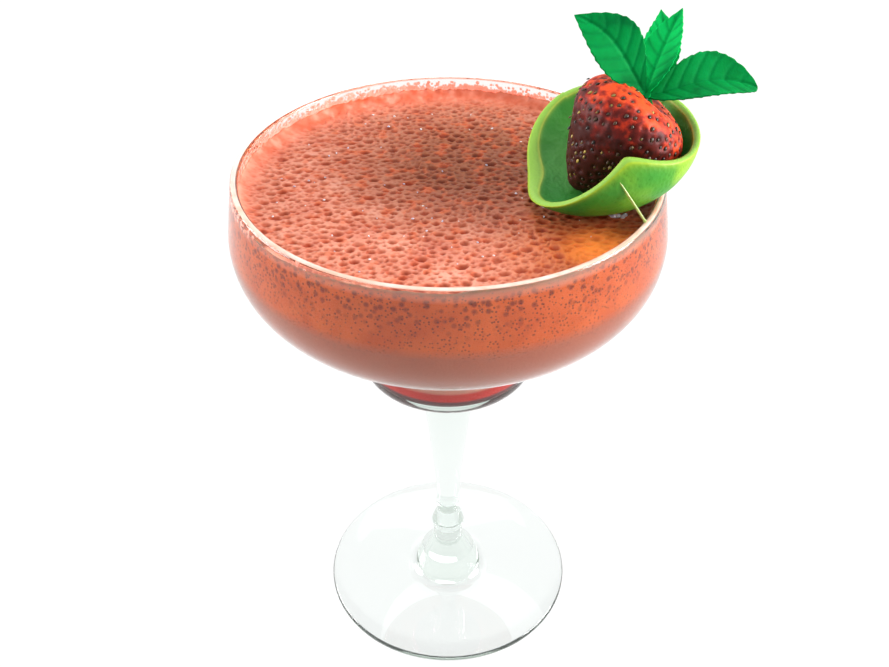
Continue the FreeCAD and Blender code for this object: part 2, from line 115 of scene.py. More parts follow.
def new_material(name):
    """An empty material, and the place of each point in its object's own frame."""
    material = bpy.data.materials.new(name)
    material.use_nodes = True
    material.node_tree.nodes.clear()
    return material, add(material, "TexCoord", out="Object")


# %% Coats of colour


def coats(material, colour, *layers, blend="MIX"):
    """Lay coats over a colour: for each, how far it covers, and its own colour."""
    for cover, coat in layers:
        links = {0: cover, 6: colour, 7: coat}
        colour = add(material, "Mix", links, out=2, data_type="RGBA", blend_type=blend)
    return colour


# %% Mesh helpers


def mesh_piece(name, points_mm, faces, **attributes):
    """A smooth mesh object from points in millimetres, with named point attributes."""
    mesh = bpy.data.meshes.new(name)
    mesh.from_pydata((np.asarray(points_mm, float) * MM).tolist(), [], faces)
    for key, values in attributes.items():
        layer = mesh.attributes.new(key, "FLOAT", "POINT")
        layer.data.foreach_set("value", np.asarray(values, np.float32))
    mesh.polygons.foreach_set("use_smooth", [True] * len(mesh.polygons))
    mesh.update()
    piece = bpy.data.objects.new(name, mesh)
    bpy.context.scene.collection.objects.link(piece)
    print(f"{name}: {len(mesh.vertices)} points, {len(mesh.polygons)} faces")
    return piece


def steps_round(around):
    """Angles of equal steps once round."""
    return np.arange(around) * 2 * math.pi / around


def ring_faces(rows, around):
    """Quads between rows of points that each go once round, in order."""
    faces = []
    for low in range(0, (rows - 1) * around, around):
        high = low + around
        for j in range(around):
            k = (j + 1) % around
            faces.append((low + j, low + k, high + k, high + j))
    return faces


def closed_faces(rows, around):
    """Faces of rows that two more points close: one under the first row, one over the last."""
    faces = ring_faces(rows, around)
    bottom, top, last = rows * around, rows * around + 1, (rows - 1) * around
    for j in range(around):
        k = (j + 1) % around
        faces.append((bottom, k, j))
        faces.append((top, last + j, last + k))
    return faces


def finish_piece(piece, material, slot, *nodes):
    """Give a piece its material and body, and hide the CAD nodes it stands for. Slot is not used.
    """
    piece.data.materials.append(material)
    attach(piece, "root")
    if nodes:
        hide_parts(*nodes)


def soft_noise(points, size, seed=0.0):
    """Smooth noise between -1 and 1 at each point; size is the lump's size."""
    shift = Vector((seed, seed * 0.7, -seed))
    return np.array([noise.noise(Vector(p) / size + shift) for p in points])


# %% [markdown]
# ## The glass
#
# The real glass is pressed and blown soda-lime glass: a wide bowl over a small
# thick cup, a drawn stem with a bead and a collar, and a broad foot. Everything
# on it is round, so it is turned, as on a lathe. Its section is a string pulled
# round pegs: arcs where the hot glass rounded off, straight runs between. The
# sizes are the CAD's, but the turning is much finer, because a facet that can't
# be felt with a finger still shows in a highlight on clear glass.

# %% A string pulled round pegs

LEFT, RIGHT, CORNER = 1, -1, 0
GLASS_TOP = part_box("glass")[1].z / MM


def tangent_run(first, second):
    """End points of the straight run of string between two pegs."""
    r1, z1, s1 = first[0], first[1], first[2] * first[3]
    r2, z2, s2 = second[0], second[1], second[2] * second[3]
    lean = math.asin((s2 - s1) / math.hypot(r2 - r1, z2 - z1))
    away = math.atan2(z2 - z1, r2 - r1) - lean
    across = np.array((-math.sin(away), math.cos(away)))
    return np.array((r1, z1)) - across * s1, np.array((r2, z2)) - across * s2


def pulled_string(pegs, step):
    """The string's points, with its round stretches cut into steps."""
    runs = [tangent_run(a, b) for a, b in zip(pegs, pegs[1:])]
    points = [np.array(pegs[0][:2], float)]
    for number, (r, z, radius, turn) in enumerate(pegs[1:-1], start=1):
        centre = np.array((r, z), float)
        if turn == CORNER:
            points.append(centre)
            continue
        arriving, leaving = runs[number - 1][1] - centre, runs[number][0] - centre
        start = math.atan2(arriving[1], arriving[0])
        sweep = math.atan2(leaving[1], leaving[0]) - start
        sweep = (sweep * turn) % (2 * math.pi) * turn
        pieces = max(4, round(abs(sweep) * radius / step))
        for i in range(pieces + 1):
            angle = start + sweep * i / pieces
            points.append(centre + radius * np.array((math.cos(angle), math.sin(angle))))
    points.append(np.array(pegs[-1][:2], float))
    return np.array(points)


def touching(radius, height, section, turn):
    """A peg whose string touches the given radius at the given height."""
    return (radius - section if turn == LEFT else radius + section, height, section, turn)


# %% The glass's section

RIM, WALL, LIP = 55.0, 2.0, 0.85
BELLY_OUT, BELLY_DROP, BELLY_ROUND = 57.1, 16.4, 21.3
CUP, CUP_WALL, CUP_DROP, CUP_ROUND = 24.8, 2.8, 59.0, 6.0
NECK_ROUND, NECK_DROP = 5.0, 51.4
CUP_FLOOR_DROP, CUP_FLOOR_ROUND = 62.4, 5.0
FOOT, FOOT_EDGE, FOOT_RING, FOOT_HOLLOW = 38.5, 1.9, 8.5, 1.2
STEM_TOP = GLASS_TOP - 79.4
STEM_THIN = 29.5
STEM_SWELL = STEM_THIN + (STEM_TOP - STEM_THIN) * 0.31

belly = (BELLY_OUT - BELLY_ROUND, GLASS_TOP - BELLY_DROP)
neck = (CUP + NECK_ROUND, GLASS_TOP - NECK_DROP)
cup_floor = GLASS_TOP - CUP_FLOOR_DROP

# Each peg has a radius, a height, a roundness, and the side on which the string passes it.
inside_pegs = [
    (0, cup_floor, 0, CORNER),
    (CUP - CUP_WALL - CUP_FLOOR_ROUND, cup_floor + CUP_FLOOR_ROUND, CUP_FLOOR_ROUND, LEFT),
    (*neck, NECK_ROUND + CUP_WALL, RIGHT),
    (*belly, BELLY_ROUND - WALL, LEFT),
    (RIM - WALL, GLASS_TOP, 0, CORNER),
]
foot_pegs = [
    (0, FOOT_HOLLOW, 0, CORNER),
    (FOOT - FOOT_RING, 0, 0, CORNER),
    touching(FOOT, FOOT_EDGE / 2, FOOT_EDGE / 2, LEFT),
]
collar_pegs = [touching(9.8, 7.7, 4.6, RIGHT), touching(8.6, 10.2, 2.0, LEFT)]
bead_pegs = [touching(4.4, 17.6, 2.4, RIGHT), touching(5.1, 23.4, 2.3, LEFT)]
stem_pegs = [
    touching(3.4, STEM_THIN, 5.0, RIGHT),
    touching(4.1, STEM_SWELL, 25.0, RIGHT),
    touching(7.2, STEM_TOP, 9.0, RIGHT),
]
bowl_pegs = [
    touching(CUP, GLASS_TOP - CUP_DROP, CUP_ROUND, LEFT),
    (*neck, NECK_ROUND, RIGHT),
    (*belly, BELLY_ROUND, LEFT),
]
lip_pegs = [
    (RIM - LIP, GLASS_TOP - LIP, LIP, LEFT),
    (RIM - WALL + LIP, GLASS_TOP - LIP, LIP, LEFT),
]
outside_pegs = foot_pegs + collar_pegs + bead_pegs + stem_pegs + bowl_pegs + lip_pegs
inner_down = [(r, z, radius, -turn) for r, z, radius, turn in reversed(inside_pegs[:-1])]

# %% Turn the glass

GLASS_STEP, GLASS_AROUND = 0.6, 160


def turned_points(outline, around):
    """Points of an outline turned once round the axis that it starts and ends on."""
    angles = steps_round(around)
    rings = outline[1:-1]
    x = rings[:, :1] * np.cos(angles)
    y = rings[:, :1] * np.sin(angles)
    z = np.repeat(rings[:, 1:], around, axis=1)
    points = np.stack([x, y, z], axis=2).reshape(-1, 3)
    return np.vstack([points, (0, 0, outline[0][1]), (0, 0, outline[-1][1])])


glass_outline = pulled_string(outside_pegs + inner_down, GLASS_STEP)
glass = mesh_piece(
    "glass_turned", turned_points(glass_outline, GLASS_AROUND),
    closed_faces(len(glass_outline) - 2, GLASS_AROUND),
)

# %% [markdown]
# Soda-lime glass is clear, with an index of refraction of 1.52 and, in thick
# places, a slightly blue-green tint from traces of iron. The tint belongs to
# the depth of the glass, so it is an absorption inside it, too weak to see in
# the thin bowl and just visible along the foot's edge and in the bead. Its
# surface is fire-polished: almost no roughness, with a very faint waviness
# left by the mould.

# %% Fire-polished soda-lime glass


def soda_lime_glass():
    material, place = new_material("soda_lime_glass_fire_polished")
    ripple = add(material, "TexNoise", {"Vector": place, "Scale": 60.0, "Detail": 1.0})
    bump = add(material, "Bump", {"Height": ripple, "Strength": 0.03, "Distance": 0.001})
    surface = add(material, "BsdfPrincipled", {
        "Base Color": "#fbfefd", "Roughness": 0.0, "IOR": 1.52, "Transmission Weight": 1.0,
        "Sheen Weight": 0.3, "Sheen Roughness": 0.3, "Sheen Tint": "#ffffff", "Normal": bump,
    })
    tint = add(material, "VolumeAbsorption", {"Color": "#d2e0d6", "Density": 26.0})
    add(material, "OutputMaterial", {"Surface": surface, "Volume": tint})
    return material


finish_piece(glass, soda_lime_glass(), "clear_glass", "glass")

# %% [markdown]
# The lip is painted a soft peach and not left as clear glass: a painted highlight for the froth's
# colour and the room's light that the rounded lip refracts and reflects.

# %% The lip's painted highlight

LIP_HIGHLIGHT_DEPTH = 0.2 * LIP


def painted_lip_highlight():
    material, place = new_material("soda_lime_glass_painted_lip_highlight")
    patches = add(material, "TexNoise", {"Vector": place, "Scale": 220.0, "Detail": 2.0})
    lip_highlight = (patches, [(0.35, "#f6c4ae"), (0.65, "#fde2d6")])
    # The painted highlight is whiter at the back.
    backward = add(material, "SeparateXYZ", {"Vector": place}, out="Y")
    colour = coats(material, lip_highlight, ((backward, -0.02, 0.03), "#ffffff"))
    surface = add(material, "BsdfPrincipled", {
        "Base Color": colour, "Roughness": 0.2, "IOR": 1.52, "Transmission Weight": 0.3,
    })
    add(material, "OutputMaterial", {"Surface": surface})
    return material


glass.data.materials.append(painted_lip_highlight())
for face in glass.data.polygons:
    if face.center.z > (GLASS_TOP - LIP_HIGHLIGHT_DEPTH) * MM:
        face.material_index = 1

# %% [markdown]
# ## The frozen drink
#
# Ice, juice and spirit from a blender set to a soft foam. Its top is full of
# open bubbles, 1 to 3 mm wide: round pits with paler rims between them, and
# its edge climbs the wall in ragged froth. Painting the pits would look flat
# from the side, so they are real dents, cut into a grid that is fine enough to
# hold them. The drink's side follows the inside of the glass and reaches just
# into the wall, so no film of air shows between them.

# %% The drink's side

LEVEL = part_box("frozen_drink")[1].z / MM
WALL_BITE = 0.12
HALF_GRID = 125
AROUND = 8 * HALF_GRID
turn_angles = steps_round(AROUND)
heading = np.stack([np.cos(turn_angles), np.sin(turn_angles)], axis=1)

inner_wall = pulled_string(inside_pegs, 1.6)


def wall_radius(height):
    """Radius of the bowl's inside at a height."""
    return np.interp(height, inner_wall[:, 1], inner_wall[:, 0])


def round_noise(size, seed):
    """Smooth noise round the rim; size is how long a lump is."""
    rim_points = np.column_stack([heading * RIM, np.zeros(AROUND)])
    return soft_noise(rim_points, size, seed)


# Froth clings to the wall all round: highest in front, most ragged at the back.
FAR_SIDE = np.array((-0.45, 0.89))
CLIMB, NEAR_CLIMB, LOWEST, HIGHEST = 2.2, 2.5, 0.3, 5.0
toward_far = 0.5 + 0.5 * (heading @ FAR_SIDE)
climb = CLIMB + NEAR_CLIMB * (1 - toward_far) ** 2 + 0.4 * round_noise(9.0, 1.3)
ragged = toward_far * (0.9 * round_noise(1.7, 4.1) + 0.5 * round_noise(0.8, 6.3))
swell = np.clip(climb, LOWEST, HIGHEST)
edge_height = LEVEL + np.clip(climb + ragged, LOWEST, HIGHEST)

# Rows follow the wall up to just under the level, and three more reach the froth's edge.
side_heights = [np.full(AROUND, z) for z in inner_wall[1:-1, 1] if z < LEVEL - 1.5]
for share in (0.0, 0.5, 1.0):
    side_heights.append((LEVEL - 1.0) * (1 - share) + edge_height * share)
side_rows = [
    np.column_stack([heading * (wall_radius(heights) + WALL_BITE)[:, None], heights])
    for heights in side_heights
]
print("side rows:", len(side_rows))
edge_drop = GLASS_TOP - edge_height
print("froth edge below the lip, mm:", edge_drop.min(), "to", edge_drop.max())

# %% The bubbles in the froth

SEED = 12
draw = np.random.default_rng(SEED)
FROTH_RADIUS = 52.6
BUBBLES, SMALLEST, LARGEST = 2600, 0.6, 1.4
TRIES, CELL = 60, 4


def scattered_bubbles():
    """Centres and radii of open bubbles that keep clear of each other."""
    bubbles, grid = [], {}
    for _ in range(BUBBLES):
        for _ in range(TRIES):
            radius = SMALLEST + (LARGEST - SMALLEST) * draw.random() ** 1.2
            spot = FROTH_RADIUS * math.sqrt(draw.random())
            bearing = draw.random() * 2 * math.pi
            x, y = spot * math.cos(bearing), spot * math.sin(bearing)
            column, row = int(x // CELL), int(y // CELL)
            near = [
                other
                for i in (-1, 0, 1)
                for j in (-1, 0, 1)
                for other in grid.get((column + i, row + j), ())
            ]
            if all(math.hypot(x - a, y - b) > (radius + c) * 1.02 for a, b, c in near):
                grid.setdefault((column, row), []).append((x, y, radius))
                bubbles.append((x, y, radius))
                break
    return np.array(bubbles)


bubbles = scattered_bubbles()
bubble_depths = bubbles[:, 2] * draw.uniform(0.26, 0.66, len(bubbles))
print("open bubbles:", len(bubbles))

# %% The froth's grid


def disc_grid(half):
    """A square grid pulled round into a disc: each point's share of the radius, and angle."""
    u, v = np.meshgrid(np.arange(-half, half + 1), np.arange(-half, half + 1), indexing="ij")
    share = np.maximum(np.abs(u), np.abs(v)) / half
    with np.errstate(divide="ignore", invalid="ignore"):
        beside = math.pi / 4 * v / u + math.pi * (u < 0)
        above = math.pi / 2 - math.pi / 4 * u / v + math.pi * (v < 0)
    angle = np.where(np.abs(u) >= np.abs(v), beside, above)
    angle[half, half] = 0.0
    return share, angle % (2 * math.pi)


def round_the_rim(values):
    """Values given round the rim, at every point of the grid."""
    return np.interp(angle, turn_angles, values, period=2 * math.pi)


share, angle = disc_grid(HALF_GRID)
reach = round_the_rim(wall_radius(edge_height) + WALL_BITE)
broad_rise = round_the_rim(swell)
rise = round_the_rim(edge_height - LEVEL)
far_share = round_the_rim(toward_far)
from_wall = reach * (1 - share)
meniscus = broad_rise * np.exp(-from_wall / (0.5 + 1.9 * far_share))
meniscus += (rise - broad_rise) * np.exp(-from_wall / 0.35)
top = np.stack([
    reach * share * np.cos(angle), reach * share * np.sin(angle), LEVEL + meniscus
], axis=2).reshape(-1, 3)
print("froth grid:", share.shape)

# %% The froth's surface

# Bubbles press on each other, so their outlines are pulled out of round, and the
# last turn of the stirrer has drawn them longer across than deep.
DRAWN_LONG, DRAWN_SHORT, WARP = 1.25, 0.85, 0.42
RIM_LIFT, RIM_PLACE, RIM_WIDTH = 0.10, 1.1, 0.22

lumps = 0.28 * soft_noise(top, 11.0, 2.0) + 0.14 * soft_noise(top, 3.4, 5.0)
foam_lumps = 0.22 * soft_noise(top, 1.5, 8.0) + 0.16 * soft_noise(top, 0.8, 9.0)
smooth_band = np.exp(-((from_wall / (1.2 + 4.6 * far_share**2)) ** 2)).ravel()
open_froth = 1 - smooth_band
warped_x = top[:, 0] + WARP * soft_noise(top, 1.5, 21.0)
warped_y = top[:, 1] + WARP * soft_noise(top, 1.5, 31.0)
dent = np.zeros(len(top))
rim_lift = np.zeros(len(top))
for (x, y, radius), depth in zip(bubbles, bubble_depths):
    near = np.flatnonzero(
        (np.abs(warped_x - x) < radius * 2.1) & (np.abs(warped_y - y) < radius * 1.7)
    )
    along, across = (warped_x[near] - x) / DRAWN_LONG, (warped_y[near] - y) / DRAWN_SHORT
    away = np.hypot(along, across) / radius
    dent[near] = np.maximum(dent[near], np.clip(1 - away**2, 0, 1) * depth)
    raised = RIM_LIFT * np.exp(-(((away - RIM_PLACE) / RIM_WIDTH) ** 2))
    rim_lift[near] = np.maximum(rim_lift[near], raised)
dent *= open_froth
inside = np.minimum(1, from_wall.ravel() / 0.8)
top[:, 2] += (lumps + rim_lift) * open_froth + foam_lumps * smooth_band * inside - dent
print("deepest bubble:", dent.max(), "mm")

# %% Close the drink's mesh

side = np.concatenate(side_rows)
edge_start = (len(side_rows) - 1) * AROUND
inner = np.flatnonzero(share.ravel() < 1)
numbers = edge_start + np.round(angle * AROUND / (2 * math.pi)).astype(int).ravel() % AROUND
numbers[inner] = len(side) + np.arange(len(inner))
grid = numbers.reshape(share.shape)
drink_points = np.vstack([side, top[inner], (0, 0, cup_floor - WALL_BITE)])
floor_point = len(drink_points) - 1
drink_faces = ring_faces(len(side_rows), AROUND)
drink_faces += [(floor_point, (j + 1) % AROUND, j) for j in range(AROUND)]
corners = np.stack([grid[:-1, :-1], grid[1:, :-1], grid[1:, 1:], grid[:-1, 1:]], axis=2)
drink_faces += [tuple(face) for face in corners.reshape(-1, 4).tolist()]


def on_top(values, elsewhere):
    """Values for the froth's points, with another value for the rest of the drink."""
    return np.concatenate([np.full(len(side), elsewhere), values[inner], [elsewhere]])


# On the near side the froth ends in a pale collar against the wall.
near_share = 1 - far_share.ravel()
collar = on_top(np.exp(-((from_wall.ravel() / 1.1) ** 2)) * near_share, 0.0)
collar[edge_start : edge_start + AROUND] = 1 - toward_far
drink = mesh_piece(
    "drink_with_froth", drink_points, drink_faces,
    pit=on_top(np.clip(dent / 0.8, 0, 1), 0.0),
    froth=on_top(np.ones(len(top)), 0.0),
    band=on_top(smooth_band * far_share.ravel(), 0.0),
    collar=collar,
)

# %% [markdown]
# The slush is pulp, juice and tiny crystals, so light goes a little way in and
# comes back warmer. The rims of the bubbles are pale coral, the pits darker
# and redder, because light is trapped in them. Below the froth the body is an
# orange-brown with fine dark specks of strawberry seed. Froth and body are two
# stacks of coats, and the point attributes of the mesh tell them apart.

# %% The froth's colours


def froth_colour(material, place, blotch):
    """Coral froth, blotched where the blender left more air."""
    lumps = add(material, "TexNoise", {"Vector": place, "Scale": 300.0, "Detail": 1.0})
    coral = (blotch, [(0.3, "#c0705a"), (0.5, "#cb8169"), (0.7, "#d89680")])
    foam = (lumps, [(0.35, "#d8603f"), (0.55, "#e37c60"), (0.7, "#f0a38c")])
    thin_spot, from_lime_shade = (
        add(material, "VectorMath", {0: place, 1: spot}, out="Value", operation="DISTANCE")
        for spot in ((0.007, 0.014, LEVEL * MM), (0.037, -0.030, LEVEL * MM))
    )
    top = coats(
        material, coral,
        # In the middle the froth is thin, so the greyer drink below shows through.
        ((thin_spot, 0.046, 0.014), "#8e5032"),
        # Spots of pulp, orange-red, 2 mm across.
        ((lumps, 0.52, 0.68, 0.55), "#c65824"),
        # Painted shade: round the lime the froth is painted orange-brown, for the lime's shadow
        # and the light it throws back.
        ((from_lime_shade, 0.030, 0.010), "#bc663a"),
    )
    # Bubbles too small to cut: 1 mm cells, each darker in the middle with painted shade.
    fine = add(material, "TexVoronoi", {"Vector": place, "Scale": 900.0})
    small_bubbles = (fine, [(0.0, "#deb8a8"), (0.3, "#f3e4de"), (0.6, "#ffffff")])
    trapped_light = (
        "pit", [(0.0, "#ffffff"), (0.25, "#e6c4b4"), (0.6, "#cc9a82"), (1.0, "#c08468")]
    )
    top = coats(material, top, (1.0, small_bubbles), (1.0, trapped_light), blend="MULTIPLY")
    # Painted light: right by the lime a brighter orange is laid over the pits, against the shade
    # the lime casts.
    return coats(material, top, ((from_lime_shade, 0.011, 0.003), "#fa8c3e"), ("band", foam))


# %% The body's colours


def body_colour(material, place):
    """Orange-brown body, with painted reflection and shade, drained syrup, and what is caught in
    it.
    """
    height = add(material, "SeparateXYZ", {"Vector": place}, out="Z")
    pulp = add(material, "TexNoise", {"Vector": place, "Scale": 140.0, "Detail": 4.0})
    bubbles = add(material, "TexVoronoi", {"Vector": place, "Scale": 520.0})
    seeds = add(material, "TexVoronoi", {"Vector": place, "Scale": 1100.0, "Randomness": 0.7})
    return coats(
        material, (pulp, [(0.3, "#e0611c"), (0.7, "#f2762f")]),
        # Painted reflection: paler and greyer below the bowl's broadest part, for the white table
        # mirrored in the glass.
        ((height, 0.1368, 0.1340), "#cb7252"),
        # In the cup: pale at the neck, a painted reflection; red below, where the juice and the
        # syrup have drained; dark at the bottom, painted shade for the thick glass base.
        ((height, 0.1020, 0.0990), "#e8a08a"),
        ((height, 0.0965, 0.0955), "#d92c1c"),
        ((height, 0.0934, 0.0926), "#6e3c3c"),
        # Bubbles caught against the wall, fewer and smaller further down.
        ((bubbles, 0.45, 0.2, (height, 0.138, 0.147)), "#a03a14"),
        # Strawberry seeds, 0.4 mm across, in the upper part of the body.
        ((seeds, 0.30, 0.17, (height, 0.129, 0.142)), "#702c14"),
    )


# %% Blended strawberry slush


def strawberry_slush():
    material, place = new_material("strawberry_slush_whipped")
    blotch = add(material, "TexNoise", {"Vector": place, "Scale": 90.0, "Detail": 3.0})
    colour = coats(
        material, body_colour(material, place),
        ("froth", froth_colour(material, place, blotch)),
        ("collar", "#f8c4ae"),
    )
    crystals = add(material, "TexNoise", {"Vector": place, "Scale": 1400.0, "Detail": 2.0})
    bump = add(material, "Bump", {"Height": crystals, "Strength": 0.35, "Distance": 0.0002})
    wetness = add(material, "MapRange", {"Value": blotch, "To Min": 0.22, "To Max": 0.5})
    surface = add(material, "BsdfPrincipled", {
        "Base Color": colour, "Roughness": wetness, "IOR": 1.35, "Specular IOR Level": 0.3,
        "Subsurface Weight": 0.25, "Subsurface Radius": (1.0, 0.35, 0.2),
        "Subsurface Scale": 0.0015, "Normal": bump,
    })
    add(material, "OutputMaterial", {"Surface": surface})
    return material


finish_piece(drink, strawberry_slush(), "frozen_drink", "frozen_drink")

# %% [markdown]
# Above the froth, mostly on the far side, specks of froth have stuck to the wall
# as the level sank. Each is a flat drop, and there are fewer higher up. A few wet
# beads stand where the lime dips into the drink, and tiny ice crystals lie in the
# froth.

# %% Specks of froth on the wall


def bead_shape(along, width, wide, thick, around):
    """A closed bead: places along X, and the share of its full half-width at each."""
    turns = steps_round(around)
    rings = [
        np.column_stack([
            np.full(around, x), share * wide * np.cos(turns), share * thick * np.sin(turns)
        ])
        for x, share in zip(along[1:-1], width[1:-1])
    ]
    points = np.vstack([*rings, (along[0], 0, 0), (along[-1], 0, 0)])
    return points, closed_faces(len(rings), around)


def drop_shape(long, wide, thick, rings, around):
    """A flattened drop, lying on its broad side."""
    tilt = np.linspace(0, math.pi, rings + 1)
    return bead_shape(-long * np.cos(tilt), np.sin(tilt), wide, thick, around)


def copies(name, shape, faces, frames):
    """One mesh of the same shape set at each frame: a 3x3 turn and a place."""
    points = np.concatenate([shape @ turn.T + place for turn, place in frames])
    many = [tuple(v + n * len(shape) for v in face) for n in range(len(frames)) for face in faces]
    return mesh_piece(name, points, many)


SPECKS, SPECK_CLEAR = 2200, 1.2
UP = np.array((0, 0, 1.0))
speck_draw = np.random.default_rng(SEED + 7)
speck_frames = []
while len(speck_frames) < SPECKS:
    step = speck_draw.integers(AROUND)
    if speck_draw.random() > toward_far[step] ** 4:
        continue
    size = speck_draw.uniform(0.4, 1.2)
    height = edge_height[step] - 0.6 + speck_draw.exponential(0.8)
    if height > GLASS_TOP - SPECK_CLEAR:
        continue
    out = np.array((*heading[step], 0.0))
    level = np.cross(UP, out)
    turn = np.column_stack([level, UP, np.cross(level, UP)]) * size
    speck_frames.append((turn, out * (wall_radius(height) + 0.05) + UP * height))
specks = copies("froth_specks", *drop_shape(0.5, 0.5, 0.16, 4, 6), speck_frames)

# %% Dried froth


def dried_froth():
    material, place = new_material("strawberry_froth_film")
    patches = add(material, "TexNoise", {"Vector": place, "Scale": 300.0})
    # A film this thin passes the light from behind it. A weak glow stands in for that.
    surface = add(material, "BsdfPrincipled", {
        "Base Color": (patches, [(0.35, "#f99c84"), (0.65, "#ffcabc")]),
        "Roughness": 0.5, "IOR": 1.35, "Emission Color": "#f7a08a", "Emission Strength": 0.5,
    })
    add(material, "OutputMaterial", {"Surface": surface})
    return material


finish_piece(specks, dried_froth(), "frozen_drink")

# %% Wet beads and ice crystals

BEADS, CRYSTALS, CRYSTAL_REACH = 22, 70, 46
BEAD_START, BEAD_RUN = np.array((24, -9.8, LEVEL + 0.2)), np.array((20, -5.3, 0))
bead_frames = []
for share in np.linspace(0, 1, BEADS):
    size = speck_draw.uniform(0.7, 1.5)
    place = BEAD_START + BEAD_RUN * share
    place[:2] += speck_draw.normal(0, 0.5, 2)
    bead_frames.append((np.eye(3) * size, place))
beads = copies("wet_beads", *drop_shape(0.62, 0.62, 0.5, 9, 14), bead_frames)

crystal_frames = []
for _ in range(CRYSTALS):
    spot = CRYSTAL_REACH * math.sqrt(speck_draw.random())
    bearing = speck_draw.uniform(0, 2 * math.pi)
    turn = np.array(Matrix.Rotation(bearing * 3, 3, "Z")) * speck_draw.uniform(0.6, 1.3)
    place = np.array((spot * math.cos(bearing), spot * math.sin(bearing), LEVEL + 0.12))
    crystal_frames.append((turn, place))
crystals = copies("ice_crystals", *drop_shape(0.34, 0.22, 0.2, 3, 5), crystal_frames)


def melting_ice():
    """Clear ice, with a lilac cast from the sky of the room."""
    material, place = new_material("ice_crystal_melting")
    cloud = add(material, "TexNoise", {"Vector": place, "Scale": 900.0})
    surface = add(material, "BsdfPrincipled", {
        "Base Color": (cloud, [(0.4, "#d9d4ee"), (0.6, "#ffffff")]),
        "Roughness": 0.15, "IOR": 1.31, "Transmission Weight": 0.3,
    })
    add(material, "OutputMaterial", {"Surface": surface})
    return material


ice = melting_ice()
finish_piece(beads, ice, "frozen_drink")
finish_piece(crystals, ice, "frozen_drink")

# %% [markdown]
# ## The lime
#
# Half a lime, its flesh scraped out, so that only the peel is left as a little
# bowl. Its cut edge isn't level: the knife left a peak at the front and low
# ends. The outside is an ellipsoid, and so is the inside, 1.8 mm smaller, and
# the cut edge joins them in a wave. The peel's oil glands are dimples about
# half a millimetre wide, so they are dented into the mesh and repeated finer
# in the finish.

# %% The lime's shape

LIME_HALF = np.array((25.9, 25.2, 16.0))
PEEL = 1.8
LIME_MIDDLE = np.array((RIM - 18.8, -1.7, GLASS_TOP + 10.7))
LIME_NOD, LIME_LEAN, LIME_SPIN = 8.2, 12.3, -15.4
EDGE_DROP, EDGE_TILT, EDGE_TILT_BEARING = 9.7, 6.1, 49.0
PEAK_RISE, PEAK_BEARING, PEAK_INNER, PEAK_OUTER = 19.2, -61.0, 68.0, 46.0
BACK_RISE, BACK_BEARING, BACK_SPREAD = 2.4, 118.0, 38.0


def turned_about(axis, degrees):
    return Matrix.Rotation(math.radians(degrees), 3, axis)


lime_tilt = np.array(
    turned_about("Y", -LIME_NOD) @ turned_about("X", LIME_LEAN) @ turned_about("Z", LIME_SPIN)
)


def in_lime(points):
    """Points in the lime's own frame, as points in the object's frame."""
    return np.asarray(points) @ lime_tilt.T + LIME_MIDDLE


def hump(bearing, middle, spread_before, spread_after):
    """A hump of height one round the lime, fading over the given degrees."""
    turn = (np.degrees(bearing) - middle + 180) % 360 - 180
    spread = np.where(turn < 0, spread_before, spread_after)
    return np.exp(-np.abs(turn / spread) ** 1.5)


def cut_edge_height(bearing):
    """Height of the lime's cut edge at a bearing round it, in its own frame."""
    return (
        PEAK_RISE * hump(bearing, PEAK_BEARING, PEAK_INNER, PEAK_OUTER)
        + BACK_RISE * hump(bearing, BACK_BEARING, BACK_SPREAD, BACK_SPREAD)
        + EDGE_TILT * np.cos(bearing - math.radians(EDGE_TILT_BEARING))
        - EDGE_DROP
    )


# %% The lime's rows

LIME_AROUND, PEEL_ROWS = 340, 72
lime_bearings = steps_round(LIME_AROUND)
lime_heading = np.stack([np.cos(lime_bearings), np.sin(lime_bearings)], axis=1)
edge = cut_edge_height(lime_bearings)


def peel_row(half, rise):
    """One row of points round an ellipsoid, rise up from its bottom towards the edge."""
    top_angle = np.arcsin(edge / half[2])
    latitude = -math.pi / 2 + (top_angle + math.pi / 2) * rise
    reach = 1 / np.hypot(lime_heading[:, 0] / half[0], lime_heading[:, 1] / half[1])
    flat = lime_heading * (reach * np.cos(latitude))[:, None]
    return np.column_stack([flat, half[2] * np.sin(latitude)])


rises = np.linspace(0, 1, PEEL_ROWS + 1)[1:]
outer_rows = [peel_row(LIME_HALF, rise) for rise in rises]
inner_rows = [peel_row(LIME_HALF - PEEL, rise) for rise in rises[::-1]]
edge_rows = []
for share in (0.2, 0.4, 0.6, 0.8):
    row = outer_rows[-1] * (1 - share) + inner_rows[0] * share
    row[:, 2] += 0.35 * math.sin(math.pi * share)
    edge_rows.append(row)
lime_rows = 2 * PEEL_ROWS + len(edge_rows)
print("lime rows:", lime_rows)

# %% Dimples and scrapes


def away_from_middle(points, half):
    """Unit normals of an ellipsoid at points on it."""
    normals = points / half**2
    return normals / np.linalg.norm(normals, axis=1)[:, None]


outer = np.concatenate(outer_rows)
glands = soft_noise(outer, 0.75, 3.0)
dimples = -0.11 * np.clip(glands - 0.1, 0, 1) + 0.10 * soft_noise(outer, 6.0, 8.0) - 0.08
outer = outer + away_from_middle(outer, LIME_HALF) * dimples[:, None]

inner = np.concatenate(inner_rows)
scrapes = 0.14 * soft_noise(inner, 3.2, 6.0) + 0.04 * soft_noise(inner, 0.8)
inner = inner - away_from_middle(inner, LIME_HALF - PEEL) * scrapes[:, None]

